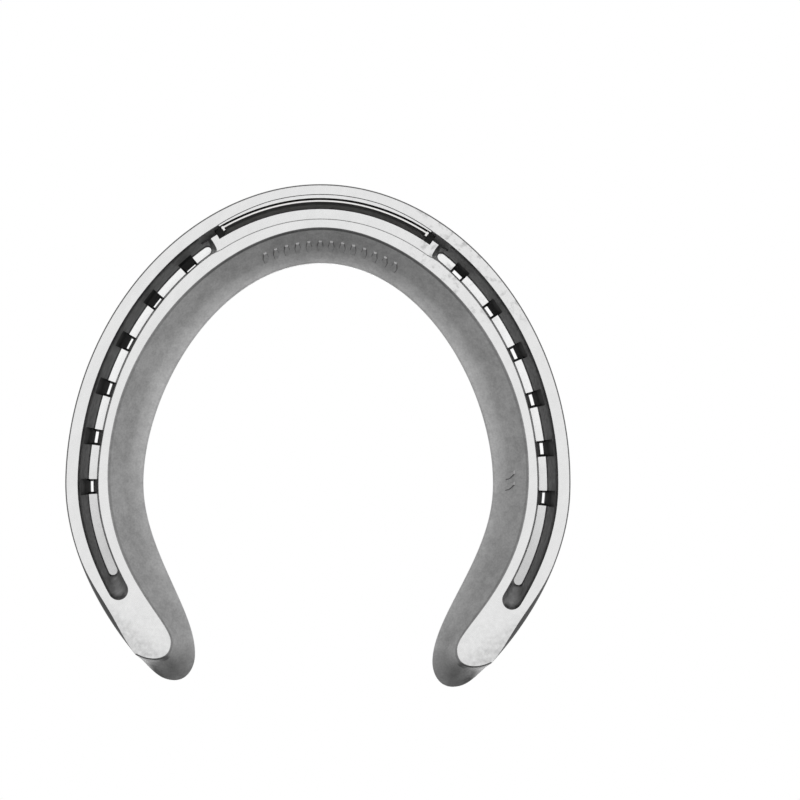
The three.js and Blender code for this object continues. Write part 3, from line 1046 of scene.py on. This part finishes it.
def wear_steel():
    """The insert: its ridge is worn bright, and its hollow side is darkened by painted shade, most near the
    ground.
    """
    shading = Shading("wear_steel")
    down = shading.ramp(shading.normal_z, -0.9, -0.985)
    grain = shading.noise(0.4, 3, 0.6)
    streaks = shading.noise(0.3, 3, 0.6, (6, 1, 1), BRUSH_TURN)
    deep = shading.ramp(shading.z, 1.0 * MM, 1.9 * MM)
    # Painted shade on the hollow side, darkest near the ground.
    side = shading.plus(shading.blend(deep, 0.16, 0.5), shading.times(grain, 0.1))
    worn = shading.plus(0.66, shading.times(streaks, 0.25))
    shading.grey(shading.blend(down, side, worn), (1, 0.99, 0.98))
    shading.rough(shading.blend(down, 0.45, 0.3))
    shading.bump(grain, 0.02)
    return shading.material


# ---- Pieces ----


SHARP_ANGLE = math.radians(27)
FLAT_FACE_WEIGHT = 80


def finish_mesh(piece):
    """Smooth shading that stays crisp at true edges and flat on flat faces."""
    piece.data.shade_smooth()
    piece.data.set_sharp_from_angle(angle=SHARP_ANGLE)
    weighted = piece.modifiers.new("flat faces stay flat", "WEIGHTED_NORMAL")
    weighted.keep_sharp = True
    weighted.weight = FLAT_FACE_WEIGHT


def body_piece():
    forged, creased = forged_aluminium(), creased_aluminium()
    punched = punched_aluminium("punched_aluminium", shallow=0.5, deep=0.28, inner=0.8)
    nail_punched = punched_aluminium("nail_hole_aluminium", shallow=0.2, deep=0.08, inner=0.5)
    body = make_object("forged_body", blank(), forged)
    combine(body, toe_clip(), "UNION", forged)
    combine(body, seat(), "DIFFERENCE", forged)
    for side in PRESSED_SIDES:
        combine(body, pressed_side(*side), "DIFFERENCE", creased)
    combine(body, groove(), "DIFFERENCE", punched)
    combine(body, both_branches(crease()), "DIFFERENCE", creased)
    combine(body, both_branches(channel()), "DIFFERENCE", punched)
    combine(body, nail_holes(), "DIFFERENCE", nail_punched)
    combine(body, cove_marks(), "UNION", stamped_aluminium())
    combine(body, hoof_marks(), "DIFFERENCE", forged)
    finish_mesh(body)
    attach(body, "root")
    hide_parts("shoe_body")


def insert_piece():
    steel = wear_steel()
    bar = make_object("wear_insert", insert_bar(), steel)
    combine(bar, both_branches(insert_end_wall()), "UNION", steel)
    finish_mesh(bar)
    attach(bar, "root")
    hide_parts("toe_insert")


# ---- Camera: below the shoe, on its middle axis, aimed a little past it ----

CAMERA_Y = -2.05 * MM
CAMERA_BELOW = 0.70
CAMERA_LENS = 133.3
CAMERA_ROLL = math.radians(1.491)
CAMERA_CLIP = (0.01, 50)
AIM_RIGHT = 19.0 * MM
AIM_UP = 9.45 * MM


def make_camera():
    camera = bpy.data.cameras.new("camera")
    camera.lens = CAMERA_LENS
    camera.clip_start, camera.clip_end = CAMERA_CLIP
    camera_object = bpy.data.objects.new("camera", camera)
    bpy.context.scene.collection.objects.link(camera_object)
    up = Vector((math.sin(CAMERA_ROLL), math.cos(CAMERA_ROLL), 0))
    right = Vector((-math.cos(CAMERA_ROLL), math.sin(CAMERA_ROLL), 0))
    place = Vector((0, CAMERA_Y, -CAMERA_BELOW))
    aim = Vector((0, CAMERA_Y, 0)) + right * AIM_RIGHT + up * AIM_UP
    back = (place - aim).normalized()
    side = up.cross(back).normalized()
    turn = Matrix((side, back.cross(side), back)).transposed()
    camera_object.matrix_world = Matrix.Translation(place) @ turn.to_4x4()
    bpy.context.scene.camera = camera_object


# ---- Studio: a white background, a soft light below and above, and a pale floor ----

# The bright field below, by the cosine of the angle from straight down.
KEY_EDGE = (math.cos(math.radians(38)), math.cos(math.radians(20)))
KEY_LIGHT = 1.12
# The sides are darker behind the heels and a little brighter at -X; more light comes in from above.
SIDE_LIGHT = 0.36
MINUS_X_GAIN = 0.06
HEEL_SIDE_EDGE = (0.45, 1)
HEEL_SIDE_LOSS = 0.18
TOP_RISE = (0.25, 0.85)
TOP_LIGHT = 0.16
# A soft tall window behind the heels, for the hoof side: its span sideways, backwards and upwards.
WINDOW_SPAN = [(0.32, 0.14), (0.2, 0.4), (0.35, 0.55)]
WINDOW_LIGHT = 1.8


def make_world():
    """White behind the shoe. The shoe itself sees a bright field below, grey sides and a window above."""
    world = bpy.data.worlds.new("studio")
    world.use_nodes = True
    bpy.context.scene.world = world
    nodes = Nodes(world.node_tree)
    background = nodes.tree.nodes["Background"]
    background.inputs["Color"].default_value = (1, 1, 1, 1)
    sideways, forward, up = nodes.split(nodes.node("ShaderNodeTexCoord").outputs["Generated"])
    down, backward, to_minus_x = (nodes.times(way, -1) for way in (up, forward, sideways))
    window = WINDOW_LIGHT
    for way, span in zip((nodes.size_of(sideways), backward, up), WINDOW_SPAN):
        window = nodes.times(nodes.ramp(way, *span), window)
    light = nodes.total(
        nodes.minus(SIDE_LIGHT, nodes.ramp(backward, *HEEL_SIDE_EDGE, 0, HEEL_SIDE_LOSS)),
        nodes.ramp(to_minus_x, 0, 1, 0, MINUS_X_GAIN),
        nodes.ramp(up, *TOP_RISE, 0, TOP_LIGHT),
        window,
        nodes.ramp(down, *KEY_EDGE, 0, KEY_LIGHT - SIDE_LIGHT),
    )
    seen = nodes.node("ShaderNodeLightPath").outputs["Is Camera Ray"]
    nodes.feed(background.inputs["Strength"], nodes.maths("MAXIMUM", seen, light))


# Each lamp: place, size and power. It points at the shoe and lights the floor; the metal doesn't mirror it.
LAMPS = [
    ((-0.45, 0.6, 1.05), 0.7, 9.0),
    ((0.6, -0.2, 0.95), 0.9, 6.0),
]


def make_lamps():
    for number, (place, size, power) in enumerate(LAMPS):
        lamp = bpy.data.lights.new(f"lamp_{number}", "AREA")
        lamp.shape = "DISK"
        lamp.size = size
        lamp.energy = power
        made = bpy.data.objects.new(lamp.name, lamp)
        turn = Vector(place).to_track_quat("Z", "Y").to_matrix()
        made.matrix_world = Matrix.Translation(place) @ turn.to_4x4()
        made.visible_camera = False
        made.visible_glossy = False
        bpy.context.scene.collection.objects.link(made)


FLOOR_DROP = 0.3 * MM
FLOOR_SIZE = 6.0
FLOOR_POINTS = 64
FLOOR_COLOUR = (0.86, 0.86, 0.86, 1)
FLOOR_ROUGHNESS = 0.7
# The floor turns clear between these distances from its middle.
FLOOR_FADE = (0.2, 0.55)


def floor_material():
    """Pale from above and near the shoe, and clear from below and further away."""
    material = bpy.data.materials.new("floor")
    material.use_nodes = True
    nodes = Nodes(material.node_tree)
    surface = nodes.tree.nodes["Principled BSDF"]
    surface.inputs["Base Color"].default_value = FLOOR_COLOUR
    surface.inputs["Roughness"].default_value = FLOOR_ROUGHNESS
    distance = nodes.node("ShaderNodeVectorMath", operation="LENGTH")
    nodes.feed(distance.inputs[0], nodes.node("ShaderNodeTexCoord").outputs["Object"])
    fade = nodes.ramp(distance.outputs["Value"], *FLOOR_FADE, smooth=False)
    underside = nodes.node("ShaderNodeNewGeometry").outputs["Backfacing"]
    clear = nodes.node("ShaderNodeBsdfTransparent").outputs[0]
    mix = nodes.node("ShaderNodeMixShader")
    sources = nodes.maths("MAXIMUM", underside, fade), surface.outputs[0], clear
    for socket, source in zip(mix.inputs, sources):
        nodes.feed(socket, source)
    nodes.feed(nodes.tree.nodes["Material Output"].inputs["Surface"], mix.outputs[0])
    return material


def make_floor():
    turns = np.linspace(0, 2 * np.pi, FLOOR_POINTS, endpoint=False)
    ring = [(FLOOR_SIZE * math.cos(turn), FLOOR_SIZE * math.sin(turn), -FLOOR_DROP) for turn in turns]
    mesh = bpy.data.meshes.new("floor")
    mesh.from_pydata(ring, [], [tuple(range(FLOOR_POINTS))])
    mesh.materials.append(floor_material())
    floor = bpy.data.objects.new("floor", mesh)
    bpy.context.scene.collection.objects.link(floor)
    for ray in ("diffuse", "glossy", "transmission", "shadow", "volume_scatter"):
        setattr(floor, f"visible_{ray}", False)


bpy.context.scene.view_settings.view_transform = "Standard"
make_camera()
make_world()
make_lamps()
make_floor()
body_piece()
insert_piece()
